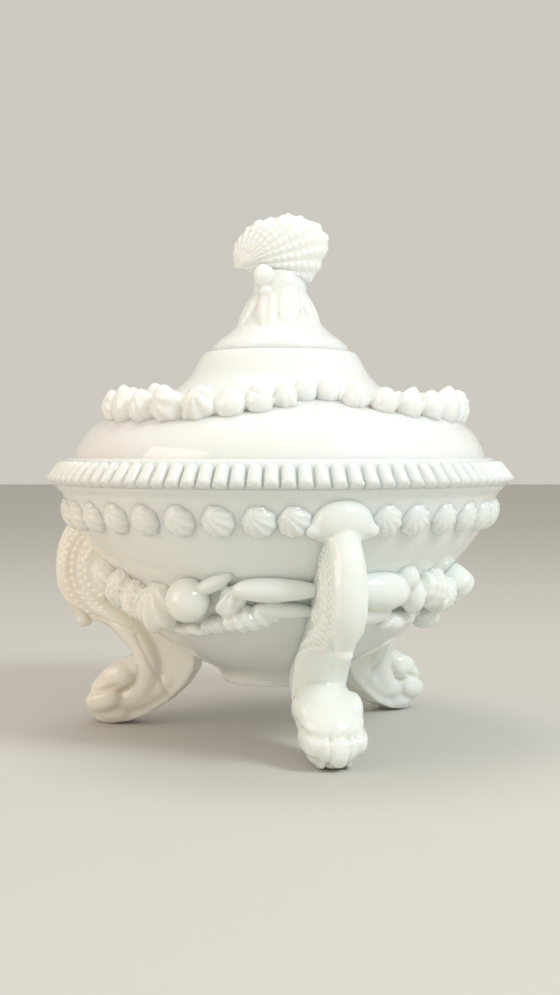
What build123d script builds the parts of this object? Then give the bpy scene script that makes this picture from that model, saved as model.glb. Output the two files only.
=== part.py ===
"""Three-footed covered jar in pressed milk glass: a round bowl on three paw feet, and a lid with a shell knob.

Row frame: +Z up, origin on the bowl's axis in the plane of the three soles. Angles round the axis are measured
from -Y towards +X, and the first foot stands at FIRST_FOOT. Millimetres.
The glass is two separate pieces, the bowl and the lid. Each moulded member of a piece is a solid of its own
here, trimmed so that it meets the wall behind it face to face.
"""
from build123d import *
from math import acos, asin, atan2, cos, degrees, hypot, pi, sin, sqrt
import os

# ---------------------------------------------------------------- driving dimensions
# Bowl, outside
FOLD = 3                    # feet, garlands and lid swags repeat this many times round the axis
FIRST_FOOT = 15.0           # degrees from -Y towards +X
BOWL_BOTTOM_Z = 18.0        # lowest point of the round bowl above the table
BOWL_R = 50.0               # widest radius of the round bowl
WAIST_Z = 50.0              # crease between the round bowl and the flared collar
COLLAR_TOP_R = 68.2         # collar radius just under the rim
COLLAR_H = 26.8             # height of the collar above the waist
COLLAR_BULGE = 2.75         # how far the collar bows out from a straight cone
RIM_H = 9.0                 # height of the turned-out rim
RIM_OVERHANG = 1.4          # how far the rim's core stands out from the collar
RIM_LIP_W = 2.4             # flat lip of the rim beside the lid
RIM_CROWN = 1.1             # bow of the rim's sloping top
BASE_RING_R = 16.5          # flat ring under the bowl
BASE_RING_H = 1.6           # how far the ring stands below the bowl

# Bowl, inside, and the seat of the lid
FLOOR_T = 4.2               # glass thickness at the bottom of the bowl
WALL_T = 4.6                # glass thickness at the waist
MOUTH_R = 60.0              # clear opening of the bowl
SEAT_W = 4.2                # width of the ledge that carries the lid
SEAT_DEPTH = 2.2            # how far the ledge lies below the top of the rim
INNER_BULGE = 1.6           # bow of the inner flank

# Rim beads and collar shells
BEADS = 96
BEAD_GAP = 0.05             # left between neighbouring beads
BEAD_L = 9.2                # bead length down the slope of the rim
BEAD_SUNK = 0.7             # depth of the beads' middles inside the core's edge
BEAD_TILT = 33.0            # bead's lean away from the axis, degrees
SHELLS_PER_THIRD = 11
SHELL_PITCH = 9.1           # degrees between neighbouring collar shells
SHELL_W = 8.6
SHELL_H = 8.8
SHELL_PROUD = 4.2           # how far a shell stands off the collar
SHELL_DROP = 5.8            # shell centre below the top of the collar

# Legs
SCROLL_PROUD = 6.0          # how far a leg's scroll stands out beyond the rim's core
SCROLL_W = 11.4             # leg width at the scroll
SPUR_Z = 33.0               # height of the spur under the scroll
ANKLE_R = 46.5              # distance of the ankle's front from the axis
ANKLE_W = 14.6              # leg width below the spur
PAW_R = 55.0                # distance of the paw's middle from the axis
PAW_W = 16.4
PAW_L = 19.0
PAW_H = 15.0
TOE_W = 7.0
TOE_H = 12.0
SOLE_CUT = 1.2              # depth of glass ground away to make the flat sole
CAP_W = 17.6                # leaf cap at the head of a leg
CAP_H = 13.0

# Garlands between the legs
GARLAND_DROP = 4.9          # middle of the garland below the waist
GARLAND_PROUD = 3.2         # how far the shells' middles stand off the bowl
GARLAND_PEARL_D = 13.2

# Lid
LID_CLEAR = 0.6             # radial clearance of the lid in the rim
FLANGE_CLEAR = 0.6          # radial clearance of the locating flange in the mouth
FLANGE_T = 3.4
FLANGE_H = 4.0
LID_SIDE_H = 4.6            # upright side of the lid above the seat
SHOULDER_W = 6.8            # the shoulder's reach in from the side
SHOULDER_H = 8.4
DOME_RISE = 8.6             # rise of the lid's top from the shoulder to the bell
BELL_FOOT_R = 33.4
BELL_TOP_R = 22.4
BELL_H = 13.8
LID_T = 4.4                 # glass thickness of the lid
SWAG_SHELLS = 13
SWAG_SHELL_W = 9.0
SWAG_SHELL_H = 9.8
SWAG_END_ANGLE = 7.8        # degrees from a crest to the first shell of a swag

# Knob
DISC_R = 21.2
DISC_H = 1.7
SKIRT_H = 16.3              # concave sweep from the disc up to the neck
NECK_R = 8.6
SHELL_KNOB_W = 30.2
SHELL_KNOB_H = 22.6
SHELL_KNOB_T = 13.0
SHELL_KNOB_TILT = 12.0      # degrees, the shell leans towards +X
SHELL_KNOB_X = 0.6
STEM_PEARL_R = 3.3

# ---------------------------------------------------------------- sizes that follow
COLLAR_TOP_Z = WAIST_Z + COLLAR_H
RIM_TOP_Z = COLLAR_TOP_Z + RIM_H
RIM_CORE_R = COLLAR_TOP_R + RIM_OVERHANG
SEAT_Z = RIM_TOP_Z - SEAT_DEPTH
SEAT_R = MOUTH_R + SEAT_W
LID_R = SEAT_R - LID_CLEAR
SHOULDER_R = LID_R - SHOULDER_W
SHOULDER_Z = SEAT_Z + LID_SIDE_H + SHOULDER_H
BELL_FOOT_Z = SHOULDER_Z + DOME_RISE
BELL_TOP_Z = BELL_FOOT_Z + BELL_H
NECK_Z = BELL_TOP_Z + DISC_H + SKIRT_H
STEP = 360 / FOLD
OVER = 1.0                  # how far a cutting solid runs past what it cuts


def arc_through(low, high, bulge):
    """Centre and radius of the arc from low to high that bows out and down by bulge."""
    chord = hypot(high[0] - low[0], high[1] - low[1])
    along = ((high[0] - low[0]) / chord, (high[1] - low[1]) / chord)
    radius = (chord * chord / 4 + bulge * bulge) / (2 * bulge)
    back = radius - bulge
    centre = (
        (low[0] + high[0]) / 2 - along[1] * back,
        (low[1] + high[1]) / 2 + along[0] * back,
    )
    return centre, radius


def arc_middle(low, high, bulge):
    """The point half way along that arc."""
    centre, radius = arc_through(low, high, bulge)
    towards = atan2((low[1] + high[1]) / 2 - centre[1], (low[0] + high[0]) / 2 - centre[0])
    return centre[0] + radius * cos(towards), centre[1] + radius * sin(towards)


WAIST = (BOWL_R, WAIST_Z)
COLLAR_TOP = (COLLAR_TOP_R, COLLAR_TOP_Z)


def wall_r(z):
    """Outer radius of the bowl's wall at height z, from the bowl's bottom to the top of the collar."""
    if z < WAIST_Z:
        share = (WAIST_Z - z) / (WAIST_Z - BOWL_BOTTOM_Z)
        return BOWL_R * sqrt(max(0.0, 1 - share * share))
    centre, radius = arc_through(WAIST, COLLAR_TOP, COLLAR_BULGE)
    return centre[0] + sqrt(max(0.0, radius * radius - (z - centre[1]) ** 2))


def turned(edges):
    """The solid of revolution of a closed outline in the XZ plane."""
    return revolve(Plane.XZ * make_face(Wire(edges)), Axis.Z)


def outline(*steps):
    """Edges through points: a bare point is a straight step, ('arc', middle, end) is an arc."""
    edges, at = [], steps[0]
    for step in steps[1:]:
        if step[0] == "arc":
            edges.append(ThreePointArc(at, step[1], step[2]).edge())
            at = step[2]
        elif step[0] == "curve":
            edges.append(Spline(at, *step[1], tangents=step[2]).edge())
            at = step[1][-1]
        else:
            edges.append(Line(at, step).edge())
            at = step
    return edges


def round_flank(radius, depth, r_from, z_to):
    """Edge of the round bowl's half ellipse, from radius r_from near its bottom up to height z_to."""
    start = -degrees(acos(r_from / radius))
    end = -degrees(asin((WAIST_Z - z_to) / depth))
    return EllipticalCenterArc((0, WAIST_Z), radius, depth, start, arc_size=end - start).edge()


def bowl_envelope():
    """The bowl's outer shape filled solid, which trims whatever grows out of the wall."""
    depth = WAIST_Z - BOWL_BOTTOM_Z
    flank = round_flank(BOWL_R, depth, BASE_RING_R, WAIST_Z)
    foot = flank @ 0
    base_z = BOWL_BOTTOM_Z - BASE_RING_H
    rim_low = (RIM_CORE_R - 1.4, COLLAR_TOP_Z + 0.6)
    rim_out = (RIM_CORE_R, COLLAR_TOP_Z + RIM_H * 0.35)
    rim_in = (SEAT_R + RIM_LIP_W, RIM_TOP_Z)
    rim_middle = ((rim_out[0] + rim_in[0]) / 2 + RIM_CROWN, (rim_out[1] + rim_in[1]) / 2 + RIM_CROWN)
    edges = outline((0, base_z), (BASE_RING_R, base_z), (foot.X, foot.Y)) + [flank]
    edges += outline(
        WAIST,
        ("arc", arc_middle(WAIST, COLLAR_TOP, COLLAR_BULGE), COLLAR_TOP),
        rim_low,
        rim_out,
        ("arc", rim_middle, rim_in),
        (0, RIM_TOP_Z),
        (0, base_z),
    )
    return turned(edges)


def bowl_hollow():
    """The space inside the bowl, up through the ledge and the rim."""
    inner_r = BOWL_R - WALL_T
    floor_z = BOWL_BOTTOM_Z + FLOOR_T
    flank = round_flank(inner_r, WAIST_Z - floor_z, 0, WAIST_Z)
    low, high = (inner_r, WAIST_Z), (MOUTH_R, SEAT_Z - FLANGE_H - 1.0)
    edges = [flank] + outline(
        low,
        ("arc", arc_middle(low, high, INNER_BULGE), high),
        (MOUTH_R, SEAT_Z),
        (SEAT_R, SEAT_Z),
        (SEAT_R, RIM_TOP_Z + OVER),
        (0, RIM_TOP_Z + OVER),
        (0, floor_z),
    )
    return turned(edges)


def egg(width, length):
    """An ellipsoid of revolution centred on the origin, with its length along Z."""
    half = EllipticalCenterArc((0, 0), width / 2, length / 2, -90, arc_size=180).edge()
    return turned([half, Line((0, length / 2), (0, -length / 2)).edge()])


def at_wall(shape, angle, z, proud=0.0, lean=0.0, roll=0.0):
    """Places a shape made about the origin on the bowl's wall: X runs round the bowl, Y out, Z up.

    angle is measured from -Y towards +X, lean tips the top outwards, roll turns it in the wall's plane."""
    spot = Rot(0, 0, angle) * Pos(0, -(wall_r(z) + proud), z)
    return spot * Rot(lean, 0, 0) * Rot(0, roll, 0) * shape


def bead():
    """One drop-shaped bead of the rim, facing -Y."""
    middle_r = RIM_CORE_R - BEAD_SUNK
    middle_z = COLLAR_TOP_Z + RIM_H * 0.52
    width = 2 * middle_r * sin(pi / BEADS) - BEAD_GAP
    drop = egg(width, BEAD_L)
    return Pos(0, -middle_r, middle_z) * Rot(-BEAD_TILT, 0, 0) * drop


def collar_shell(angle):
    """One small scallop of the collar's frieze."""
    dome = egg(SHELL_W, SHELL_H)
    z = COLLAR_TOP_Z - SHELL_DROP
    return at_wall(dome, angle, z, proud=SHELL_PROUD - SHELL_W / 2, lean=18)


def leg_side():
    """The leg's outline in its own plane: X is the distance from the axis, Y the height."""
    reach = RIM_CORE_R + SCROLL_PROUD
    head = (COLLAR_TOP_R - 6.0, COLLAR_TOP_Z - 6.0)
    spur = (reach - 13.6, SPUR_Z + 1.9)
    knee = (reach - 18.0, SPUR_Z - 2.7)
    ankle = (ANKLE_R + 3.6, PAW_H + 3.5)
    toe = (PAW_R + PAW_L / 2 - 2.4, 5.0)
    sole_out, sole_in = (toe[0] - 4.0, 0.0), (PAW_R - 5.5, 0.0)
    hip = (BASE_RING_R + 10.0, BOWL_BOTTOM_Z + 4.0)
    edges = outline(
        head,
        (
            "curve",
            [(reach - 7.0, head[1] - 9.0), (reach, WAIST_Z), (reach - 4.6, SPUR_Z + 6.5), spur],
            ((1, -0.25), (-1, -0.12)),
        ),
        ("curve", [(spur[0] - 1.0, SPUR_Z - 2.1), knee], ((-0.2, -1), (-1, 0.25))),
        ("curve", [(ANKLE_R + 6.0, SPUR_Z - 4.1), (ANKLE_R, SPUR_Z - 9.5), ankle], ((-1, 0.25), (0.6, -1))),
        ("curve", [(toe[0] - 6.0, PAW_H - 0.5), toe, sole_out], ((1, 0.2), (-1, -0.4))),
        sole_in,
        ("curve", [(PAW_R - 16.5, 5.4), (hip[0] + 5.0, 12.6), hip], ((-1, 0.25), (-0.25, 1))),
        (hip[0], head[1]),
        head,
    )
    return make_face(edges)


def leg(envelope):
    """One leg towards -Y: leaf cap, scroll, spur, ankle and paw, trimmed to the bowl."""
    side = Plane(origin=(0, 0, 0), x_dir=(0, -1, 0), z_dir=(-1, 0, 0)) * leg_side()
    whole = extrude(side, amount=SCROLL_W / 2, both=True)
    cap_z = COLLAR_TOP_Z - CAP_H / 2 - 3.0
    paw_z = PAW_H / 2 - SOLE_CUT
    members = [
        Pos(0, -(wall_r(cap_z) + 1.2), cap_z) * Rot(0, 90, 0) * egg(CAP_H, CAP_W),
        Pos(0, -(ANKLE_R - 5.0), paw_z + 9.2) * Rot(38, 0, 0) * egg(ANKLE_W, 27.0),
        Pos(0, -PAW_R, paw_z) * Rot(90, 0, 0) * egg(PAW_H, PAW_L),
        Pos(0, -(PAW_R - 0.5), paw_z + 8.7) * Rot(0, 90, 0) * egg(11.5, PAW_W - 1.6),
    ]
    for side_x, forward in ((-TOE_W * 0.7, 3.0), (0.0, 4.4), (TOE_W * 0.7, 3.0)):
        members.append(Pos(side_x, -(PAW_R + forward), TOE_H / 2 - 0.8) * egg(TOE_W, TOE_H))
    for member in members:
        whole += member
    ground = Pos(0, 0, -50) * Box(400, 400, 100)
    return whole - ground - envelope


def strung(shapes, wall):
    """Shapes strung side by side as separate solids: each gives way to the two before it and to the wall."""
    solids = []
    for i, shape in enumerate(shapes):
        for other in [*shapes[max(0, i - 2) : i], wall]:
            shape -= other
        solids.append(shape.solids().sort_by(SortBy.VOLUME)[-1])
    return Compound(children=solids)


def garland(envelope, leg_solid):
    """The swag of shells and a pearl that hangs between two legs, from one leg round to the next."""
    hang_z = WAIST_Z - GARLAND_DROP
    horn = Rot(0, 90, 0) * egg(12.0, 28.0)
    cone = Rot(0, 90, 0) * Rot(0, 0, 60) * egg(11, 17)
    members = [
        # degrees round from the first leg, rise, shape, roll
        (12.5, 6.2, horn, 8),
        (25.5, 4.6, egg(11, 12), 20),
        (34.0, 2.6, egg(12.5, 13.5), -25),
        (44.0, 2.0, egg(14, 15), 15),
        (54.0, 0.2, egg(14.5, 16), -10),
        (64.0, -0.8, egg(15, 17), 20),
        (74.0, -0.8, egg(15.5, 18.5), -15),
        (85.0, 1.2, Sphere(GARLAND_PEARL_D / 2), 0),
        (95.0, -3.4, cone, -20),
        (96.5, 5.2, egg(10, 10.5), 30),
        (107.5, 6.2, horn, -8),
    ]
    placed = [
        at_wall(shape, angle, hang_z + rise, GARLAND_PROUD, roll=roll) for angle, rise, shape, roll in members
    ]
    placed[0] -= leg_solid
    placed[-1] -= Rot(0, 0, STEP) * leg_solid
    return strung(placed, envelope)


def lid_outer():
    """Edges of the lid's outside, from the seat up to the top of the bell."""
    side_top = (LID_R, SEAT_Z + LID_SIDE_H)
    shoulder = (SHOULDER_R, SHOULDER_Z)
    bell_foot = (BELL_FOOT_R, BELL_FOOT_Z)
    dome_middle = ((SHOULDER_R + BELL_FOOT_R) / 2, SHOULDER_Z + DOME_RISE * 0.44)
    bell = [(BELL_FOOT_R - 4.6, BELL_FOOT_Z + BELL_H * 0.52), (BELL_TOP_R + 2.0, BELL_TOP_Z - 2.2)]
    return outline(
        (LID_R, SEAT_Z),
        side_top,
        ("curve", [(LID_R - 2.0, SEAT_Z + LID_SIDE_H + SHOULDER_H * 0.58), shoulder], ((0, 1), (-1, 0.22))),
        ("curve", [dome_middle, bell_foot], ((-1, 0.22), (-0.55, 1))),
        ("curve", bell + [(BELL_TOP_R, BELL_TOP_Z)], ((-0.55, 1), (-1, 0.35))),
    )


def lid():
    """The lid's shell: locating flange, side, shoulder, dome and bell, hollow underneath."""
    flange_out = MOUTH_R - FLANGE_CLEAR
    flange_in = flange_out - FLANGE_T
    flange_z = SEAT_Z - FLANGE_H
    under_bell = (BELL_FOOT_R - 3.0, BELL_FOOT_Z - LID_T)
    under_shoulder = (SHOULDER_R - 3.0, SHOULDER_Z - LID_T + 0.4)
    inside = outline(
        (BELL_TOP_R, BELL_TOP_Z),
        (0, BELL_TOP_Z),
        (0, BELL_TOP_Z - LID_T - 1.6),
        ("curve", [(BELL_TOP_R - LID_T, BELL_FOOT_Z + BELL_H * 0.42), under_bell], ((1, 0), (1, -0.5))),
        ("curve", [under_shoulder, (flange_in, SEAT_Z + LID_SIDE_H - 0.6)], ((1, -0.22), (0, -1))),
        (flange_in, flange_z),
        (flange_out, flange_z),
        (flange_out, SEAT_Z),
        (LID_R, SEAT_Z),
    )
    return turned(lid_outer() + inside)


def dome_z(r):
    """Height of the lid's dome at radius r, between the shoulder and the foot of the bell."""
    share = (SHOULDER_R - r) / (SHOULDER_R - BELL_FOOT_R)
    return SHOULDER_Z + DOME_RISE * (0.88 * share + 0.12 * share * share)


def lid_swag(lid_solid):
    """One swag of sea shells on the lid, low between two crests that stand over the legs."""
    crest_r, drop_r = BELL_FOOT_R + 3.6, SHOULDER_R - 2.2
    between = (STEP - 2 * SWAG_END_ANGLE) / (SWAG_SHELLS - 1)
    placed = []
    for i in range(SWAG_SHELLS):
        angle = SWAG_END_ANGLE + between * i
        share = abs(angle - STEP / 2) / (STEP / 2)
        r = drop_r - (drop_r - crest_r) * share**3
        width = SWAG_SHELL_W + 0.8 * sin(i * 2.1)
        shell = Pos(0, -r, dome_z(r) + 1.4) * Rot(-14, 0, 0) * egg(width, SWAG_SHELL_H)
        placed.append(Rot(0, 0, angle) * shell)
    return strung(placed, lid_solid)


def knob_stem():
    """The lid's knob below the shell: a thin disc, the concave sweep up to the neck, and a pearl on it."""
    top = BELL_TOP_Z + DISC_H
    sweep = [(DISC_R * 0.58, top + SKIRT_H * 0.46), (NECK_R, NECK_Z)]
    stem = turned(
        outline(
            (0, BELL_TOP_Z),
            (DISC_R, BELL_TOP_Z),
            (DISC_R, top),
            ("curve", sweep, ((-1, 0.42), (-0.12, 1))),
            (NECK_R, NECK_Z + 2.4),
            (0, NECK_Z + 2.4),
            (0, BELL_TOP_Z),
        )
    )
    return stem + Pos(-NECK_R * 0.66, -NECK_R * 0.42, NECK_Z + 4.6) * Sphere(STEM_PEARL_R)


def shell_finial(stem):
    """The scallop shell that stands on the neck and leans over, trimmed to the stem."""
    centre_z = NECK_Z + SHELL_KNOB_H / 2 + 1.2
    shell = scale(Sphere(0.5), (SHELL_KNOB_W, SHELL_KNOB_T, SHELL_KNOB_H))
    return Pos(SHELL_KNOB_X, 0, centre_z) * Rot(0, -SHELL_KNOB_TILT, 0) * shell - stem


def around(shape):
    """The shape at every foot's angle, as separate copies."""
    return [Rot(0, 0, FIRST_FOOT + STEP * i) * shape for i in range(FOLD)]


def main():
    os.makedirs("parts", exist_ok=True)
    envelope = bowl_envelope()
    one_leg = leg(envelope)
    one_garland = garland(envelope, one_leg)
    one_bead = bead() - envelope
    one_shell = collar_shell(0) - envelope
    first_shell = FIRST_FOOT + STEP / 2 - SHELL_PITCH * (SHELLS_PER_THIRD - 1) / 2
    shell_angles = [
        first_shell + STEP * third + SHELL_PITCH * i for third in range(FOLD) for i in range(SHELLS_PER_THIRD)
    ]
    cover = lid()
    stem = knob_stem()
    parts = {
        "bowl": envelope - bowl_hollow(),
        "rim_beads": Compound(children=[Rot(0, 0, 360 * i / BEADS) * one_bead for i in range(BEADS)]),
        "collar_shells": Compound(children=[Rot(0, 0, angle) * one_shell for angle in shell_angles]),
        "lid": cover,
        "knob_stem": stem,
        "shell_finial": shell_finial(stem),
    }
    for i, place in enumerate(("front", "right", "left")):
        parts[f"leg_{place}"] = around(one_leg)[i]
    for i, place in enumerate(("right", "back", "left")):
        parts[f"garland_{place}"] = around(one_garland)[i]
        parts[f"lid_swag_{place}"] = around(lid_swag(cover))[i]
    for name, solid in parts.items():
        export_step(solid, f"parts/{name}.step")


main()
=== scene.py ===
"""Three-footed covered jar in pressed milk glass: the glass itself, moulded piece by moulded piece.

Sizes are in millimetres until a piece is finished, when its mesh is brought to metres. Angles round the jar's
axis are in degrees from -Y towards +X.
"""
from math import acos, atan2, cos, degrees, exp, pi, radians, sqrt

import bmesh
import bpy
from mathutils import Matrix, Vector, noise


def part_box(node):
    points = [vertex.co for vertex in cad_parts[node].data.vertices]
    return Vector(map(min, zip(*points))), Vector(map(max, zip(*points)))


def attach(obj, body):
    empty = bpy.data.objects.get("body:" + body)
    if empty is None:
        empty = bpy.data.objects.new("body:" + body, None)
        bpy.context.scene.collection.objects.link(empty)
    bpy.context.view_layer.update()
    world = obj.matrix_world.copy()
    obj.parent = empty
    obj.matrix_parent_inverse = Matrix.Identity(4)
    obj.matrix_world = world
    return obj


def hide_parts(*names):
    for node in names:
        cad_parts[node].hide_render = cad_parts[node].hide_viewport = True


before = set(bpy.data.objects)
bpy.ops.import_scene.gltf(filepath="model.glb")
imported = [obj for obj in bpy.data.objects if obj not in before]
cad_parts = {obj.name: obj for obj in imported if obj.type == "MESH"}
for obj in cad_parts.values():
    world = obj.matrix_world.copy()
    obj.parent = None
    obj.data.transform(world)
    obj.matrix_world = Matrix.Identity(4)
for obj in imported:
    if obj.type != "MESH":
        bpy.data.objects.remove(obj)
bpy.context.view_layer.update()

# ---------------------------------------------------------------- Bowl
# The bowl's wall, pressed in opaque white milk glass: a round belly, a crease at the waist, a flared collar
# and a turned-out rim with a ledge inside it that carries the lid. Its outline is turned round the axis.

MM = 0.001
FOLD = 3                    # legs, garlands and swags in a full turn
STEP = 360 / FOLD
FIRST_FOOT = 15.0
bowl_low, bowl_high = (Vector(corner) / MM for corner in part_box("bowl"))
rim_top = bowl_high.z
rim_r = bowl_high.x
base_z = bowl_low.z
lid_low, lid_high = (Vector(corner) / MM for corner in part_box("lid"))
lid_r = lid_high.x
WAIST_R, WAIST_Z = 51.6, 50.4
FLOOR_T = 4.4
LEDGE_DROP = 2.2            # the ledge lies this far below the rim's top
MOUTH_R = lid_r - 3.6


class Value:
    """A shader socket that can be added, multiplied and mixed in a plain expression."""

    def __init__(self, tree, socket):
        self.tree, self.socket = tree, socket

    def _maths(self, operation, first, second=0.0):
        return self.tree.make("ShaderNodeMath", {"operation": operation}, {0: first, 1: second})

    def __add__(self, other):
        return self._maths("ADD", self, other)

    def __mul__(self, other):
        return self._maths("MULTIPLY", self, other)

    def __sub__(self, other):
        return self._maths("SUBTRACT", self, other)

    def __rsub__(self, other):
        return self._maths("SUBTRACT", other, self)

    def __pow__(self, other):
        return self._maths("POWER", self, other)

    __radd__ = __add__
    __rmul__ = __mul__


class Shader:
    """A material's node tree. make() adds any node from its settings and its sockets' values or links."""

    def __init__(self, name):
        self.material = bpy.data.materials.new(name)
        self.material.use_nodes = True
        self.nodes = self.material.node_tree.nodes
        self.links = self.material.node_tree.links
        self.surface = self.nodes["Principled BSDF"]

    def make(self, kind, settings=None, inputs=None, output=0):
        node = self.nodes.new(kind)
        for key, setting in (settings or {}).items():
            if key == "stops":
                for stop, (position, colour) in zip(node.color_ramp.elements, setting):
                    stop.position, stop.color = position, colour
            else:
                setattr(node, key, setting)
        for key, given in (inputs or {}).items():
            if isinstance(given, Value):
                self.links.new(given.socket, node.inputs[key])
            else:
                node.inputs[key].default_value = given
        return Value(self, node.outputs[output])

    def feed(self, **given):
        for name, value in given.items():
            socket = self.surface.inputs[name.replace("_", " ")]
            if isinstance(value, Value):
                self.links.new(value.socket, socket)
            else:
                socket.default_value = value


def milk_glass(name, painted_cool_light, painted_warm_light, painted_crevice_colour):
    """Opaque white glass with faint cloudy streaks and the gentle waviness of a fire-polished pressing.
    Painted light tints it cool on the window side of the jar and warm on the far side and low down, and
    painted shade darkens it in the hollows."""
    shader = Shader(name)
    place = shader.make("ShaderNodeTexCoord", output=3)
    split = shader.make("ShaderNodeSeparateXYZ", inputs={0: place})
    across = Value(shader, split.socket.node.outputs[0])
    height = Value(shader, split.socket.node.outputs[2])
    # Painted light: a mask by position, high on the window side (+X, higher up) and low on the far side and
    # low down.
    side = shader.make(
        "ShaderNodeMapRange",
        {"interpolation_type": "SMOOTHSTEP"},
        {
            "Value": across + height * 0.35,
            "From Min": 0.030,
            "From Max": -0.070,
            "To Min": 0.0,
            "To Max": 1.0,
        },
    )
    cloud = shader.make(
        "ShaderNodeTexNoise", {}, {"Vector": place, "Scale": 42.0, "Detail": 3.0, "Distortion": 1.2}
    )
    # Painted light from the side mask, with the random cloudy tone of the glass added to it.
    painted_light_and_cloud = side * 0.78 + (cloud - 0.5) * 0.35
    painted_light_cloud_tint = shader.make(
        "ShaderNodeMix", {"data_type": "RGBA", "clamp_factor": True}, {0: painted_light_and_cloud, 6: painted_cool_light, 7: painted_warm_light}, output=2
    )
    # Painted shade: the colour is darkened and warmed in hollows and creases, found from pointiness.
    painted_crevice_shade = shader.make(
        "ShaderNodeMapRange",
        {"interpolation_type": "SMOOTHSTEP"},
        {
            "Value": Value(shader, shader.nodes.new("ShaderNodeNewGeometry").outputs["Pointiness"]),
            "From Min": 0.50,
            "From Max": 0.42,
            "To Min": 0.0,
            "To Max": 1.0,
        },
    )
    colour = shader.make(
        "ShaderNodeMix",
        {"data_type": "RGBA", "clamp_factor": True},
        {0: painted_crevice_shade * 0.55, 6: painted_light_cloud_tint, 7: painted_crevice_colour},
        output=2,
    )
    smear = shader.make("ShaderNodeTexNoise", {}, {"Vector": place, "Scale": 160.0, "Detail": 4.0})
    wave = shader.make("ShaderNodeTexNoise", {}, {"Vector": place, "Scale": 95.0, "Detail": 2.0})
    bump = shader.make(
        "ShaderNodeBump", {}, {"Strength": 0.10, "Distance": 0.0009, "Height": wave + smear * 0.10}
    )
    shader.feed(
        Base_Color=colour,
        Roughness=smear * 0.07 + 0.075,
        Normal=bump,
        IOR=1.52,
        Subsurface_Weight=0.62,
        Subsurface_Radius=(1.0, 0.86, 0.68),
        Subsurface_Scale=0.006,
        Coat_Weight=0.35,
        Coat_Roughness=0.04,
    )
    return shader.material


# Colours in order: painted cool light, painted warm light, painted shade for the hollows.
bowl_glass = milk_glass(
    "milk_glass_bowl", (0.84, 0.885, 0.85, 1), (0.88, 0.79, 0.68, 1), (0.66, 0.64, 0.50, 1)
)


def new_mesh(bm, name):
    """The mesh of a bmesh, brought to metres, smooth shaded and with its faces turned outwards."""
    bmesh.ops.remove_doubles(bm, verts=bm.verts, dist=1e-5)
    bmesh.ops.recalc_face_normals(bm, faces=bm.faces)
    bmesh.ops.scale(bm, vec=(MM, MM, MM), verts=bm.verts)
    for face in bm.faces:
        face.smooth = True
    mesh = bpy.data.meshes.new(name)
    bm.to_mesh(mesh)
    bm.free()
    return mesh


def piece(name, mesh, material, body, *nodes):
    """Puts a finished mesh into the scene as a piece that rides on a body and stands for CAD nodes."""
    obj = bpy.data.objects.new(name, mesh)
    bpy.context.scene.collection.objects.link(obj)
    mesh.materials.append(material)
    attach(obj, body)
    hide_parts(*nodes)
    return obj


def turned(outline, steps):
    """A closed form of revolution round Z, from an outline of (r, z) that starts and ends on the axis."""
    bm = bmesh.new()
    verts = [bm.verts.new((0, -r, z)) for r, z in outline]
    edges = [bm.edges.new(pair) for pair in zip(verts, verts[1:])]
    bmesh.ops.spin(
        bm, geom=verts + edges, cent=(0, 0, 0), axis=(0, 0, 1), dvec=(0, 0, 0), angle=2 * pi, steps=steps,
        use_merge=True,
    )
    return bm


def soften(obj, levels):
    """Rounds a turned form off with a subdivision surface."""
    modifier = obj.modifiers.new("rounding", "SUBSURF")
    modifier.levels = modifier.render_levels = levels


outer_wall = [
    (21.4, 21.4), (27.4, 24.0), (34.6, 28.4), (41.0, 33.6), (46.0, 39.0), (49.2, 44.0), (51.0, 48.4),
    (WAIST_R, WAIST_Z), (52.5, 51.6), (55.2, 54.6), (58.8, 58.8), (62.6, 63.8), (65.4, 69.0), (67.2, 74.0),
]
rim = [
    (67.7, 75.2), (68.4, 75.9), (69.8, 76.9), (rim_r + 0.2, 77.9), (rim_r + 0.5, 78.8), (69.6, 80.2),
    (67.8, 82.8), (66.7, rim_top - 0.9), (65.9, rim_top), (65.0, rim_top), (64.35, rim_top - 0.5),
    (64.25, rim_top - LEDGE_DROP + 0.3), (64.0, rim_top - LEDGE_DROP), (60.6, rim_top - LEDGE_DROP),
    (MOUTH_R, rim_top - LEDGE_DROP - 0.5),
]
inner_wall = [
    (59.9, 78.6), (58.6, 73.0), (56.0, 66.0), (52.4, 59.2), (48.6, 54.0), (46.2, 49.4), (43.8, 43.0),
    (39.2, 36.4), (32.6, 31.0), (24.6, 27.0), (13.6, base_z + 1.6 + FLOOR_T + 1.4),
]
base_ring = [
    (0, base_z + 2.2), (11.5, base_z + 2.2), (14.4, base_z + 1.8), (15.4, base_z + 0.3), (16.2, base_z),
    (17.6, base_z), (18.3, base_z + 0.4), (18.6, base_z + 2.6),
]
bowl_outline = base_ring + outer_wall + rim + inner_wall + [(0, base_z + 1.6 + FLOOR_T)]
bowl = piece("bowl_wall", new_mesh(turned(bowl_outline, 72), "bowl_wall"), bowl_glass, "bowl", "bowl")
soften(bowl, 2)


def wall_r(z):
    """Radius of the bowl's outside at height z."""
    for (r0, z0), (r1, z1) in zip(outer_wall, outer_wall[1:]):
        if z <= z1:
            return r0 + (r1 - r0) * (z - z0) / (z1 - z0)
    return outer_wall[-1][0]


# ---------------------------------------------------------------- Rim beads
# A close row of upright beads on the sloping edge of the rim, each round at its head and cut off square at
# the rim's lower edge. Pressed with the bowl, 96 in the round.

BEADS = 96
BEAD_W, BEAD_T = 4.15, 5.2
BEAD_HEAD, BEAD_SHAFT = 2.5, 5.4            # lengths above and below the bead's widest ring
BEAD_LEAN = -38                             # heads in, feet out


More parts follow.
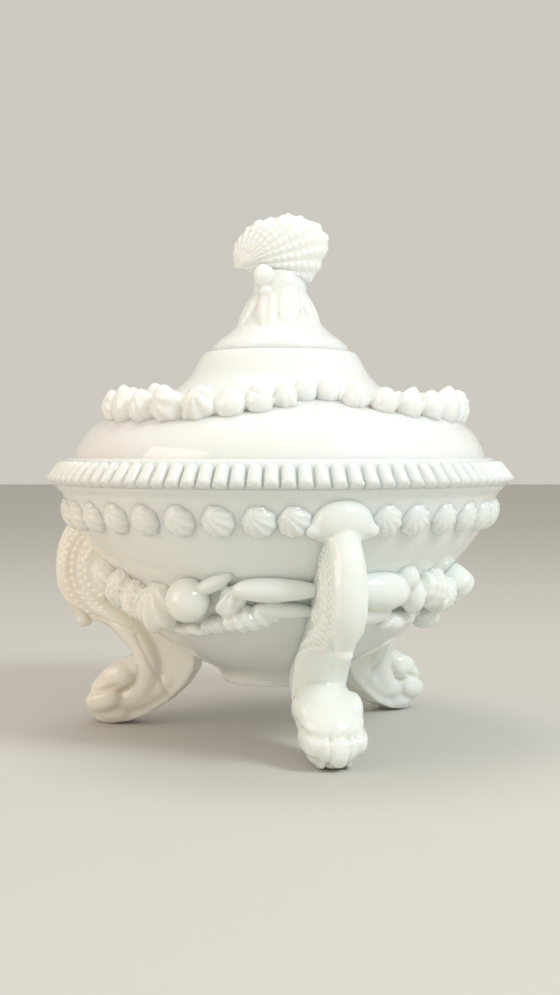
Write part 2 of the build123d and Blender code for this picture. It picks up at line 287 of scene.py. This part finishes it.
def bead(bm, angle):
    """One bead: a domed head on a straight shaft with a flat end."""
    made = bmesh.ops.create_uvsphere(bm, u_segments=16, v_segments=12, radius=1)["verts"]
    for vert in made:
        if vert.co.z > -1e-4:
            vert.co.z *= BEAD_HEAD
            continue
        ring = sqrt(vert.co.x**2 + vert.co.y**2)
        down = min(1.0, degrees(acos(min(1.0, ring))) / 45)
        wide = 1.0 if down < 1 else ring / cos(pi / 4)
        if ring > 1e-5:
            vert.co.x, vert.co.y = vert.co.x / ring * wide, vert.co.y / ring * wide
        vert.co.z = -BEAD_SHAFT * down
    seat = Matrix.Translation((0, -67.2, 82.4)) @ Matrix.Rotation(radians(BEAD_LEAN), 4, "X")
    turn = Matrix.Rotation(radians(angle), 4, "Z")
    bmesh.ops.transform(bm, matrix=turn @ seat @ Matrix.Diagonal((BEAD_W / 2, BEAD_T / 2, 1, 1)), verts=made)


bm = bmesh.new()
for i in range(BEADS):
    bead(bm, 360 * (i + 0.5) / BEADS)
piece("rim_beads", new_mesh(bm, "rim_beads"), bowl_glass, "bowl", "rim_beads")

# ---------------------------------------------------------------- Collar shells
# A frieze of low scallops under the rim, with fine ribs that fan from the hinge at each one's upper left.
# Twelve places to a third of the way round, and the leaf cap of a leg takes one of them.

SHELL_PLACES = 12
SHELL_SIZE = (10.0, 7.4, 10.2)


def on_wall(angle, z, proud=0.0, lean=0.0, roll=0.0):
    """Place of a form whose front faces -Y, set on the bowl's outside at height z."""
    return (
        Matrix.Rotation(radians(angle), 4, "Z")
        @ Matrix.Translation((0, -(wall_r(z) + proud), z))
        @ Matrix.Rotation(radians(lean), 4, "X")
        @ Matrix.Rotation(radians(roll), 4, "Y")
    )


def lump(bm, size, place, carve=None, relief=None, rings=(32, 20)):
    """A rounded form of full widths size at place. carve(point) shapes it as a ball of radius 1, and
    relief(point) is how far in mm the skin then stands up there."""
    made = bmesh.ops.create_uvsphere(
        bm, u_segments=rings[0], v_segments=rings[1], radius=1, matrix=Matrix.Rotation(pi / 2, 4, "X")
    )["verts"]
    half = Vector(size) / 2
    for vert in made:
        ball = vert.co.copy()
        spot = carve(ball.copy()) if carve else ball
        spot = Vector((spot.x * half.x, spot.y * half.y, spot.z * half.z))
        if relief:
            out = Vector((ball.x / half.x, ball.y / half.y, ball.z / half.z)).normalized()
            spot += out * relief(ball)
        vert.co = place @ spot
    return made


def fan(ribs, height, hinge=(-0.4, 0.9)):
    """A scallop's relief: ribs that fan out from a hinge, strongest at the margin."""

    def relief(p):
        across, down = p.x - hinge[0], hinge[1] - p.z
        reach = min(1.0, sqrt(across * across + down * down) / 0.9)
        return height * reach * cos(2 * ribs * atan2(across, down))

    return relief


def scallop(p):
    """A scallop's outline: narrow at the hinge above, broad and even below."""
    p.x *= 1 - 0.30 * max(0.0, p.z) ** 2
    return p


bm = bmesh.new()
for third in range(FOLD):
    for i in range(1, SHELL_PLACES):
        angle = FIRST_FOOT + STEP * third + STEP * i / SHELL_PLACES
        if i in (1, SHELL_PLACES - 1):
            angle += 1.6 if i == 1 else -1.6
        seat = on_wall(angle, 69.4, -1.3, lean=20, roll=-18)
        lump(bm, SHELL_SIZE, seat, scallop, fan(9, 0.20), (72, 28))
piece("collar_shells", new_mesh(bm, "collar_shells"), bowl_glass, "bowl", "collar_shells")

# ---------------------------------------------------------------- Legs
# Three legs of the same pressing, each a smooth scroll with scaly flanks that widens to a knee with a small
# curled spur, then a shin, an arched foot with a fin behind, and a paw, with a leaf cap where it meets the
# collar.

SCALE_PITCH = 2.4           # spacing of the scales on the flanks
SCALE_H = 0.42              # how far a scale stands up
CURL_R, CURL_Z = 54, 50     # middle of the curl that the rows of scales follow
leg_outline = [
    # (r, z) round the leg's side, from its head down the front, under the foot and up behind the wall
    (66.0, 70.0), (68.4, 63.0), (72.0, 57.4), (74.2, 50.4), (73.6, 44.0), (70.4, 39.0), (64.0, 36.0),
    (61.5, 33.4),
    (56.0, 32.0), (49.8, 29.4), (46.8, 25.0), (46.6, 20.0), (51.0, 19.2), (57.0, 17.4), (61.6, 12.0),
    (62.6, 6.0),
    (60.0, 0.8), (56.0, 0.0), (49.6, 1.0), (43.0, 3.6), (35.4, 8.6), (30.4, 13.4), (27.2, 18.4), (26.4, 22.4),
    (33.6, 29.8), (39.6, 34.8), (44.4, 39.8), (47.4, 44.8), (49.6, 50.4), (53.4, 55.6), (57.0, 60.2),
    (61.0, 65.8),
]


def plate(bm, half_width):
    """The leg's flat core: its side outline given a width."""
    face = bm.faces.new([bm.verts.new((-half_width, -r, z)) for r, z in leg_outline])
    grown = bmesh.ops.extrude_face_region(bm, geom=[face])["geom"]
    side = [item for item in grown if isinstance(item, bmesh.types.BMVert)]
    bmesh.ops.translate(bm, vec=(2 * half_width, 0, 0), verts=side)


def limb(bm, stations, sides=24, stretch=6):
    """A tapering limb in the plane x = 0, drawn smoothly through its stations. A station is
    (r, z, half width, half depth)."""
    ends = [stations[0], *stations, stations[-1]]
    points = []
    for a, b, c, d in zip(ends, ends[1:], ends[2:], ends[3:]):
        for k in range(stretch):
            t = k / stretch
            points.append([
                0.5 * (
                    2 * q + (r - p) * t
                    + (2 * p - 5 * q + 4 * r - s) * t**2
                    + (3 * q - p - 3 * r + s) * t**3
                )
                for p, q, r, s in zip(a, b, c, d)
            ])
    points.append(list(stations[-1]))
    ring = before = None
    for i, (r, z, half_w, half_d) in enumerate(points):
        back, ahead = points[max(0, i - 1)], points[min(len(points) - 1, i + 1)]
        run = Vector((0, back[0] - ahead[0], ahead[1] - back[1])).normalized()
        place = Matrix((
            (half_w, 0, 0, 0), (0, -run.z * half_d, run.y, -r), (0, run.y * half_d, run.z, z), (0, 0, 0, 1),
        ))
        if ring is None:
            made = bmesh.ops.create_circle(bm, cap_ends=True, segments=sides, radius=1, matrix=place)["verts"]
            ring = list({edge for vert in made for edge in vert.link_edges})
        else:
            grown = bmesh.ops.extrude_edge_only(bm, edges=ring)["geom"]
            moved = [item for item in grown if isinstance(item, bmesh.types.BMVert)]
            ring = [item for item in grown if isinstance(item, bmesh.types.BMEdge)]
            bmesh.ops.transform(bm, matrix=place @ before.inverted(), verts=moved)
        before = place
    bmesh.ops.holes_fill(bm, edges=ring, sides=0)


def fused(bm, name, voxel, smooth):
    """Melts overlapping forms into one skin, as they run together in the mould. The bmesh is in mm."""
    bmesh.ops.recalc_face_normals(bm, faces=bm.faces)
    mesh = bpy.data.meshes.new(name)
    bm.to_mesh(mesh)
    bm.free()
    obj = bpy.data.objects.new(name, mesh)
    bpy.context.scene.collection.objects.link(obj)
    melt = obj.modifiers.new("melt", "REMESH")
    melt.mode = "VOXEL"
    melt.voxel_size = voxel
    if smooth:
        relax = obj.modifiers.new("relax", "SMOOTH")
        relax.factor = 0.5
        relax.iterations = smooth
    graph = bpy.context.evaluated_depsgraph_get()
    skin = bpy.data.meshes.new_from_object(obj.evaluated_get(graph))
    bpy.data.objects.remove(obj)
    bm = bmesh.new()
    bm.from_mesh(skin)
    bpy.data.meshes.remove(skin)
    return bm


def blocky(p):
    """A toe's carving: a ball pressed towards a rounded block."""
    return Vector([(1 if c > 0 else -1) * abs(c) ** 0.8 for c in p])


def leaf_cap(p):
    """The cap's carving: a smooth boss that droops at each side and is undercut below."""
    out = abs(p.x)
    p.z -= 0.22 * out**4
    if p.z < 0:
        p.z *= 0.84
    return p


def leg_form():
    """The whole leg towards -Y, melted into one skin."""
    bm = bmesh.new()
    plate(bm, 4.6)
    limb(bm, [
        (63.0, 69.6, 3.6, 3.2), (65.6, 65.0, 4.3, 4.2), (69.6, 58.0, 4.7, 4.6), (71.0, 50.6, 5.0, 4.6),
        (70.2, 44.4, 4.9, 4.5), (67.4, 38.8, 4.2, 4.0), (65.6, 34.6, 2.8, 2.8),
    ])
    limb(bm, [
        (64.0, 44.0, 5.4, 5.6), (59.0, 38.2, 6.8, 5.0), (51.6, 33.2, 8.0, 4.8), (45.6, 27.0, 8.3, 5.0),
        (42.6, 20.4, 8.1, 5.2), (43.4, 14.0, 7.7, 6.0), (47.6, 9.4, 7.2, 5.8), (54.0, 7.8, 7.2, 5.4),
    ])
    limb(bm, [(62.4, 63.0, 4.0, 4.2), (61.6, 55.0, 5.4, 8.0), (61.6, 47.4, 5.8, 8.6), (56.0, 41.4, 6.4, 6.6)])
    limb(bm, [(47.0, 9.0, 7.0, 6.0), (39.4, 12.6, 6.0, 5.6), (33.2, 17.0, 4.4, 4.8), (29.4, 21.0, 2.6, 3.4)])
    limb(bm, [
        (45.0, 19.0, 8.2, 4.4), (51.0, 16.2, 9.0, 5.0), (56.0, 12.2, 9.3, 5.4), (59.4, 8.0, 8.2, 5.0),
        (61.6, 4.4, 5.4, 3.9), (62.8, 2.6, 2.6, 2.4),
    ])
    lump(bm, (5.4, 5.4, 5.4), Matrix.Translation((0, -66.0, 33.2)))
    cap = Matrix.Translation((0, -64.2, 68.4)) @ Matrix.Rotation(radians(24), 4, "X")
    lump(bm, (19.0, 11.0, 14.6), cap, leaf_cap, rings=(48, 32))
    for side in (-1, 1):
        lump(bm, (5.4, 5.2, 4.2), Matrix.Translation((side * 7.9, -65.0, 66.6)))
    for x, r, z, size, turn, dip in paw:
        place = Matrix.Translation((x, -r, z)) @ Matrix.Rotation(radians(turn), 4, "Z")
        lump(bm, size, place @ Matrix.Rotation(radians(dip), 4, "X"), blocky)
    return fused(bm, "leg", 0.42, 7)


paw = [
    # x, r, z, (width, length, height), turn about Z, dip of its front
    (-6.6, 51.6, 15.4, (6.4, 11.0, 8.0), 8, 18), (6.8, 52.0, 15.8, (6.4, 11.0, 8.0), -8, 18),
    (-6.0, 56.6, 8.4, (6.6, 12.0, 8.2), 8, 14), (6.4, 57.0, 8.6, (6.6, 12.0, 8.2), -8, 14),
    (0.0, 52.0, 18.0, (9.0, 9.0, 4.6), 0, 18), (0.2, 60.2, 5.4, (6.4, 9.0, 8.0), 0, 22),
    (0.0, 54.0, 4.4, (13.6, 13.0, 8.6), 0, 0),
]


def scales(p):
    """How far the skin stands up on a leg: rows of small scales on the flanks, a groove
    along the calf, a crease under the knee, and the lines between the toes."""
    r, z = -p.y, p.z
    side = min(1.0, max(0.0, abs(p.x) - 2.4) / 1.6)
    lift = 0.0
    out = sqrt((r - CURL_R) ** 2 + (z - CURL_Z) ** 2)
    if 33 < z < 62 and r > CURL_R and 7 < out < 19.4:
        row = (out - 7) / SCALE_PITCH
        step = atan2(z - CURL_Z, r - CURL_R) * out / SCALE_PITCH + 0.5 * (int(row + 0.5) % 2)
        boss = (0.5 + 0.5 * cos(2 * pi * row)) * (0.5 + 0.5 * cos(2 * pi * step))
        lift += SCALE_H * boss * min(1.0, (out - 7) / 2, (19.4 - out) / 2)
    calf = r - 0.5 * z
    if z < 30 and r < 46:
        lift -= 0.55 * exp(-((calf - 30.5) ** 2) / 0.5)
    crease = z - 33.0 - 0.22 * (r - 52)
    if 46 < r < 62:
        lift -= 0.5 * exp(-(crease**2) / 0.35)
    lift *= side
    if z < 21 and r > 49:
        fade = min(1.0, (r - 49) / 3, (21 - z) / 3)
        tier = z - 12.6 + 0.30 * (r - 56) + 0.10 * abs(p.x)
        toes = exp(-((abs(p.x) - 2.9) ** 2) / 0.45) * min(1.0, max(0.0, (12.5 - z) / 3))
        lift -= fade * (0.85 * exp(-(tier**2) / 0.9) + 0.6 * toes)
    return lift


bm = leg_form()
bm.normal_update()
lifts = [(vert, vert.normal * scales(vert.co)) for vert in bm.verts]
for vert, lift in lifts:
    vert.co += lift
for vert in bm.verts:
    vert.co.z = max(vert.co.z, 0.0)
leg_mesh = new_mesh(bm, "leg")
for i, place in enumerate(("front", "right", "left")):
    mesh = leg_mesh.copy()
    mesh.transform(Matrix.Rotation(radians(FIRST_FOOT + STEP * i), 4, "Z"))
    piece(f"leg_{place}", mesh, bowl_glass, "bowl", f"leg_{place}")

# ---------------------------------------------------------------- Garlands
# Swags of sea shells round the belly between the legs: limpets, a grainy conch, a cockle with a curled lip,
# a large pearl, a ribbed whelk, and long smooth horns. They are pressed with the bowl and run into it and
# each other.


def grains(height):
    """A conch's relief: small uneven grains."""
    return lambda p: height * 2 * noise.noise(p * 6.5)


def whorls(count, height):
    """A whelk's relief: turns of a spiral along X, cut by fine cross ribs."""
    return lambda p: height * (cos(pi * count * p.x + 1.6 * p.z) + 0.3 * cos(14 * p.z))


def upright(ribs, height):
    """A limpet's relief: ribs that run up to its point."""
    return lambda p: height * cos(2 * ribs * atan2(p.x, 1.1 - p.z)) * min(1.0, 1.1 - p.z)


def pointed(sharp):
    """A limpet's carving: its head is drawn up to a blunt point."""

    def carve(p):
        keep = 1 - sharp * max(0.0, p.z) ** 1.5
        return Vector((p.x * keep, p.y * keep, p.z))

    return carve


def horn(taper, bend):
    """A horn's carving: thick and round at -X, drawn out thin towards +X and bent upwards."""

    def carve(p):
        share = (p.x + 1) / 2
        full = 1 - taper * share
        return Vector((p.x, p.y * full, p.z * full + bend * share * share))

    return carve


def garland_form(forms):
    """A garland from the leg at 0 to the leg at 120 degrees, melted into one skin."""
    bm = bmesh.new()
    for angle, z, proud, size, roll, carve, relief in forms:
        lump(bm, size, on_wall(angle, z, proud, 0, roll), carve, relief, (64, 44))
    return fused(bm, "garland", 0.38, 1)


left_to_front = [
    # degrees from the left leg, height, stand-off, (width, depth, height), roll, carving, relief
    (11, 51.0, 1.4, (18, 10, 8.6), 4, horn(0.3, 0.1), None),
    (24, 51.4, 1.4, (9.0, 10, 10.6), 18, pointed(0.3), upright(6, 0.34)),
    (32, 50.6, 1.8, (9.4, 10, 11.0), -10, pointed(0.3), upright(6, 0.34)),
    (42, 47.4, 1.8, (10.4, 10, 13.0), 30, pointed(0.1), grains(0.5)),
    (51, 44.6, 2.0, (10.6, 10, 12.0), -24, pointed(0.1), grains(0.5)),
    (61, 43.2, 2.0, (14.4, 10.4, 15.4), 34, scallop, fan(7, 0.46)),
    (66, 36.6, 1.2, (24, 7, 5.4), 5, horn(0.45, 0.2), whorls(4, 0.2)),
    (76.0, 46.0, 3.6, (12.6, 12.8, 12.8), 0, None, None),
    (85.5, 51.0, 1.4, (13.4, 8.0, 5.6), -22, horn(0.4, 0.3), None),
    (90.0, 46.4, 1.2, (7.4, 8.0, 11.6), 40, pointed(0.2), fan(5, 0.32)),
    (85.5, 39.4, 0.8, (15.0, 7.6, 6.4), -14, horn(0.3, -0.2), grains(0.3)),
    (95.5, 41.2, 1.8, (17.4, 9.4, 8.6), -10, horn(0.25, -0.1), whorls(5, 0.34)),
    (105.0, 49.6, 2.2, (27.0, 10.4, 8.6), 0, horn(0.42, -0.06), None),
    (107.0, 43.4, 1.2, (19.0, 8.0, 6.2), 4, horn(0.4, 0.1), None),
]
front_to_right = [
    (16.0, 48.8, 1.8, (22.0, 9.4, 9.8), 4, horn(-0.30, -0.05), None),
    (14.0, 41.6, 1.0, (19.0, 7.4, 5.4), -4, horn(-0.5, 0.1), None),
    (27.0, 52.2, 1.2, (7.4, 7.6, 8.4), 34, pointed(0.4), fan(4, 0.26)),
    (31.5, 47.0, 1.6, (7.6, 9.0, 12.4), -14, pointed(0.1), None),
    (33.0, 39.0, 1.2, (19.0, 8.0, 6.8), -6, horn(0.4, 0.2), fan(7, 0.3)),
    (41.0, 48.2, 2.0, (11.4, 10.4, 12.4), 14, pointed(0.15), whorls(5, 0.36)),
    (52.0, 45.4, 2.2, (14.4, 11.0, 10.6), -24, horn(0.2, 0), whorls(5, 0.4)),
    (57.0, 38.0, 1.2, (14.0, 8.4, 8.0), 8, scallop, fan(7, 0.34)),
    (63.0, 48.4, 3.4, (10.6, 12.0, 11.0), 10, pointed(0.5), upright(6, 0.3)),
    (74.0, 46.4, 2.6, (12.0, 12.0, 12.8), 0, pointed(0.4), upright(6, 0.3)),
    (85.0, 48.6, 2.0, (11.4, 11.0, 12.6), -10, pointed(0.45), upright(7, 0.36)),
    (95.0, 50.0, 1.6, (10.4, 10.0, 11.4), 18, scallop, fan(7, 0.36)),
    (107.0, 50.4, 1.6, (21.0, 10.0, 9.4), -4, horn(0.3, 0.1), None),
]
for place, first_leg, forms in (
    ("left", 2, left_to_front), ("right", 0, front_to_right), ("back", 1, left_to_front),
):
    bm = garland_form(forms)
    turn = Matrix.Rotation(radians(FIRST_FOOT + STEP * first_leg), 4, "Z")
    bmesh.ops.transform(bm, matrix=turn, verts=bm.verts)
    mesh = new_mesh(bm, f"garland_{place}")
    piece(f"garland_{place}", mesh, bowl_glass, "bowl", f"garland_{place}")

# ---------------------------------------------------------------- Lid
# The lid is the second piece of glass: an upright side on the rim's ledge, a soft shoulder, a gently rising
# top and a bell that carries the knob, hollow underneath, with a locating flange that stands in the bowl's
# mouth.

# Colours in order: painted cool light, painted warm light, painted shade for the hollows.
lid_glass = milk_glass(
    "milk_glass_lid", (0.875, 0.89, 0.865, 1), (0.89, 0.80, 0.72, 1), (0.70, 0.63, 0.52, 1)
)
seat_z = rim_top - LEDGE_DROP
lid_bottom = lid_low.z
bell_top = lid_high.z
LID_T = 4.6
lid_top = [
    (0, bell_top - 0.6), (16.0, bell_top - 0.6), (22.2, bell_top - 0.4), (23.3, bell_top - 0.5),
    (24.2, bell_top - 1.4), (26.0, 114.6), (27.8, 111.0), (31.0, 108.0), (34.2, 105.6), (36.4, 104.2),
    (42.0, 102.2), (50.0, 99.6), (55.4, 97.3), (59.2, 94.6), (61.8, 91.0), (63.1, 87.8), (lid_r, 85.6),
    (lid_r, seat_z + 0.4), (lid_r - 0.4, seat_z),
]
lid_under = [
    (MOUTH_R - 0.3, seat_z), (MOUTH_R - 0.6, seat_z - 0.4), (MOUTH_R - 0.7, lid_bottom + 0.3),
    (MOUTH_R - 1.1, lid_bottom), (MOUTH_R - 3.5, lid_bottom), (MOUTH_R - 3.9, lid_bottom + 0.4),
    (55.8, 86.4), (54.4, 91.0), (50.0, 94.4), (42.0, 97.6), (35.0, 100.0), (29.0, 103.0), (24.6, 107.0),
    (21.0, 111.4), (14.0, 113.6), (0, bell_top - LID_T - 1.0),
]
lid = piece("lid_shell", new_mesh(turned(lid_top + lid_under, 72), "lid_shell"), lid_glass, "lid", "lid")
soften(lid, 2)

# ---------------------------------------------------------------- Lid swags
# Three swags of shells stand on the lid, low at the outer edge midway between the legs and rising to meet
# at the bell's foot over each leg: pointed limpets, ribbed limpets, pearls, a turban shell and short horns.


def lid_z(r):
    """Height of the lid's outside at radius r on its top."""
    for (r0, z0), (r1, z1) in zip(lid_top, lid_top[1:]):
        if r0 < r <= r1:
            return z0 + (z1 - z0) * (r - r0) / (r1 - r0)
    return bell_top


def swag_place(angle):
    """Distance from the axis of a swag's middle line, at an angle counted from one leg to the next."""
    share = abs(angle - STEP / 2) / (STEP / 2)
    return 54.2 - 19.0 * share**3


def turban(p):
    """A turban shell's relief: a sunk line that winds round it."""
    wind = (atan2(p.x, -p.y) / (2 * pi) + p.z * 0.8) % 1.0
    return -0.7 * exp(-((wind - 0.5) ** 2) / 0.004)


swag = [
    # degrees from the first leg, (width, depth, height), stand-up, roll, carving, relief
    (5.0, (7.4, 8.0, 9.4), 1.8, 6, pointed(0.35), None),
    (13.5, (7.6, 8.2, 10.0), 2.0, -8, pointed(0.4), upright(6, 0.3)),
    (22.0, (7.6, 8.2, 9.0), 2.0, 4, None, None),
    (30.6, (8.4, 8.6, 11.0), 2.4, 10, pointed(0.5), None),
    (39.6, (8.8, 8.8, 10.6), 2.4, 0, pointed(0.3), turban),
    (49.4, (10.6, 9.4, 13.2), 3.0, 4, pointed(0.5), None),
    (59.6, (9.4, 9.2, 11.6), 2.4, -14, pointed(0.3), upright(6, 0.34)),
    (69.8, (11.0, 8.8, 13.2), 2.4, -24, scallop, fan(6, 0.42)),
    (80.0, (10.4, 8.8, 12.6), 2.4, 20, scallop, fan(6, 0.42)),
    (89.4, (8.8, 8.8, 10.4), 2.2, 0, pointed(0.45), None),
    (98.0, (8.2, 8.6, 10.4), 2.0, -8, pointed(0.3), turban),
    (106.6, (7.8, 8.2, 9.8), 1.8, 8, pointed(0.4), upright(6, 0.3)),
    (115.0, (7.4, 7.8, 9.2), 1.8, -4, pointed(0.3), None),
]
for third, place in enumerate(("right", "back", "left")):
    bm = bmesh.new()
    for angle, size, rise, roll, carve, relief in swag:
        r = swag_place(angle)
        at = (
            Matrix.Rotation(radians(FIRST_FOOT + STEP * third + angle), 4, "Z")
            @ Matrix.Translation((0, -r, lid_z(r) + rise))
            @ Matrix.Rotation(radians(14), 4, "X")
            @ Matrix.Rotation(radians(roll), 4, "Y")
        )
        lump(bm, size, at, carve, relief, (56, 40))
    bm = fused(bm, f"lid_swag_{place}", 0.34, 1)
    piece(f"lid_swag_{place}", new_mesh(bm, f"lid_swag_{place}"), lid_glass, "lid", f"lid_swag_{place}")

# ---------------------------------------------------------------- Knob stem
# The stem sweeps up from a thin disc on the bell to a narrow neck, with long seaweed leaves laid up it, and
# a pearl where it meets the shell. Pressed with the lid.

stem_low, stem_high = (Vector(corner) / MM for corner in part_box("knob_stem"))
disc_r = stem_high.x
NECK_R = 8.4
neck_z = stem_low.z + 18.0
stem_outline = [
    (0, stem_low.z - 0.8), (18.0, stem_low.z - 0.8), (disc_r - 0.2, stem_low.z - 0.6),
    (disc_r + 0.1, stem_low.z + 0.2),
    (disc_r - 0.1, stem_low.z + 1.3), (disc_r - 0.9, stem_low.z + 1.9), (19.4, stem_low.z + 2.9),
    (16.4, stem_low.z + 5.0),
    (13.6, stem_low.z + 7.6), (11.4, stem_low.z + 10.6), (9.6, stem_low.z + 14.2), (NECK_R, neck_z),
    (8.2, neck_z + 3.0), (7.4, neck_z + 6.0), (4.6, neck_z + 7.6), (0, neck_z + 8.0),
]


def leaf(p):
    """A leaf's carving: pointed at its foot, with a groove up the middle."""
    p.x *= 1 - 0.5 * max(0.0, -p.z)
    if p.y < 0:
        p.y *= 1 - 0.30 * exp(-(p.x**2) / 0.05)
    return p


bm = turned(stem_outline, 64)
for angle, r, z, size, lean, roll in (
    (16, 10.2, 131.6, (7.6, 3.8, 17.0), -27, 6), (-20, 10.8, 130.2, (7.4, 3.8, 20.0), -30, -8),
    (-66, 10.6, 130.8, (7.2, 3.2, 17.0), -28, 0), (60, 10.6, 130.8, (7.2, 3.2, 17.0), -28, 4),
    (115, 10.6, 130.8, (7.2, 3.2, 17.0), -28, -4), (180, 10.6, 130.8, (7.2, 3.2, 17.0), -28, 0),
    (240, 10.6, 130.8, (7.2, 3.2, 17.0), -28, 4),
):
    at = (
        Matrix.Rotation(radians(angle), 4, "Z") @ Matrix.Translation((0, -r, z))
        @ Matrix.Rotation(radians(lean), 4, "X") @ Matrix.Rotation(radians(roll), 4, "Y")
    )
    lump(bm, size, at, leaf, rings=(32, 28))
lump(bm, (6.6, 6.6, 7.2), Matrix.Translation((-5.0, -6.2, 141.8)))
lump(bm, (4.2, 4.0, 4.2), Matrix.Translation((-4.4, -6.8, 136.8)))
bm = fused(bm, "knob_stem", 0.36, 4)
piece("knob_stem", new_mesh(bm, "knob_stem"), lid_glass, "lid", "knob_stem")

# ---------------------------------------------------------------- Shell finial
# The knob proper: a cockle shell that leans over sideways, its beak low at the left, with ribs of small
# scales that fan out from the beak over both faces.

COCKLE_RIBS = 19
FINIAL_DEPTH = 14.0
FINIAL_MIDDLE = Vector((0.6, 0.0, 149.4))
BEAK = Vector((-14.0, 0.0, -4.6))
finial_reach = [
    # degrees from +X towards +Z, distance from the middle to the silhouette
    (-61, 13.0), (-48, 12.6), (-14, 13.0), (15, 15.0), (31, 14.8), (66, 12.6), (104, 11.4), (141, 13.2),
    (178, 15.2), (196, 15.4), (205, 12.6), (216, 10.8), (237, 12.0), (270, 12.4), (299, 13.0),
]


def silhouette(degree):
    """The finial's reach in the plane of its faces, at an angle from +X towards +Z."""
    degree = (degree + 61) % 360 - 61
    for (a0, r0), (a1, r1) in zip(finial_reach, finial_reach[1:]):
        if degree <= a1:
            share = (degree - a0) / (a1 - a0)
            return r0 + (r1 - r0) * (0.5 - 0.5 * cos(pi * share))
    return finial_reach[-1][1]


def cockle(p):
    """The finial's skin in mm: its silhouette and the ribs of small scales that fan from the beak."""
    reach = silhouette(degrees(atan2(p.z, p.x)))
    spot = Vector((p.x * reach, p.y * FINIAL_DEPTH / 2, p.z * reach))
    away = spot - BEAK
    far = sqrt(away.x**2 + away.z**2)
    rib = cos(2 * COCKLE_RIBS * atan2(away.z, away.x))
    scale = cos(2 * pi * far / 2.1)
    lift = min(1.0, far / 12) * (0.30 * rib + 0.22 * scale * (0.5 + 0.5 * rib))
    return spot + Vector((p.x / reach, p.y * 2 / FINIAL_DEPTH, p.z / reach)).normalized() * lift


bm = bmesh.new()
lump(bm, (2, 2, 2), Matrix.Translation(FINIAL_MIDDLE), cockle, rings=(240, 120))
piece("shell_finial", new_mesh(bm, "shell_finial"), lid_glass, "lid", "shell_finial")

# ---------------------------------------------------------------- Floor, light and camera
# A plain pale floor under a pale sky, three large soft lights, and the camera at the jar's front.

floor = bpy.data.materials.new("pale_floor")
floor.use_nodes = True
floor.node_tree.nodes["Principled BSDF"].inputs["Base Color"].default_value = (0.60, 0.585, 0.55, 1)
floor.node_tree.nodes["Principled BSDF"].inputs["Roughness"].default_value = 0.7
bm = bmesh.new()
bmesh.ops.create_grid(bm, x_segments=1, y_segments=1, size=3.0)
mesh = bpy.data.meshes.new("floor")
bm.to_mesh(mesh)
bm.free()
mesh.materials.append(floor)
stage = bpy.data.objects.new("floor", mesh)
bpy.context.scene.collection.objects.link(stage)

world = bpy.data.worlds.new("studio")
world.use_nodes = True
world.node_tree.nodes["Background"].inputs["Color"].default_value = (0.83, 0.79, 0.72, 1)
world.node_tree.nodes["Background"].inputs["Strength"].default_value = 0.74
bpy.context.scene.world = world


def softbox(name, place, aim, size, power, colour):
    """A square area light at place, turned towards aim."""
    data = bpy.data.lights.new(name, "AREA")
    data.size, data.energy, data.color = size, power, colour
    lamp = bpy.data.objects.new(name, data)
    lamp.location = place
    lamp.rotation_euler = (Vector(aim) - Vector(place)).to_track_quat("-Z", "Y").to_euler()
    bpy.context.scene.collection.objects.link(lamp)


softbox("window", (0.60, -0.50, 0.70), (0, 0, 0.08), 0.30, 5.4, (0.90, 0.97, 1.0))
softbox("room", (-0.80, -0.45, 0.35), (0, 0, 0.07), 0.6, 2.5, (1.0, 0.87, 0.74))
softbox("top", (-0.10, 0.15, 0.95), (0, 0, 0.10), 0.4, 1.7, (1.0, 0.98, 0.94))
bpy.context.scene.view_settings.view_transform = "Standard"

camera_data = bpy.data.cameras.new("camera")
camera_data.lens = 52
camera_data.sensor_width = 36
camera = bpy.data.objects.new("camera", camera_data)
camera.location = (0.0, -0.450, 0.089)
camera.rotation_euler = (radians(90 - 2.0), 0, 0)
bpy.context.scene.collection.objects.link(camera)
bpy.context.scene.camera = camera
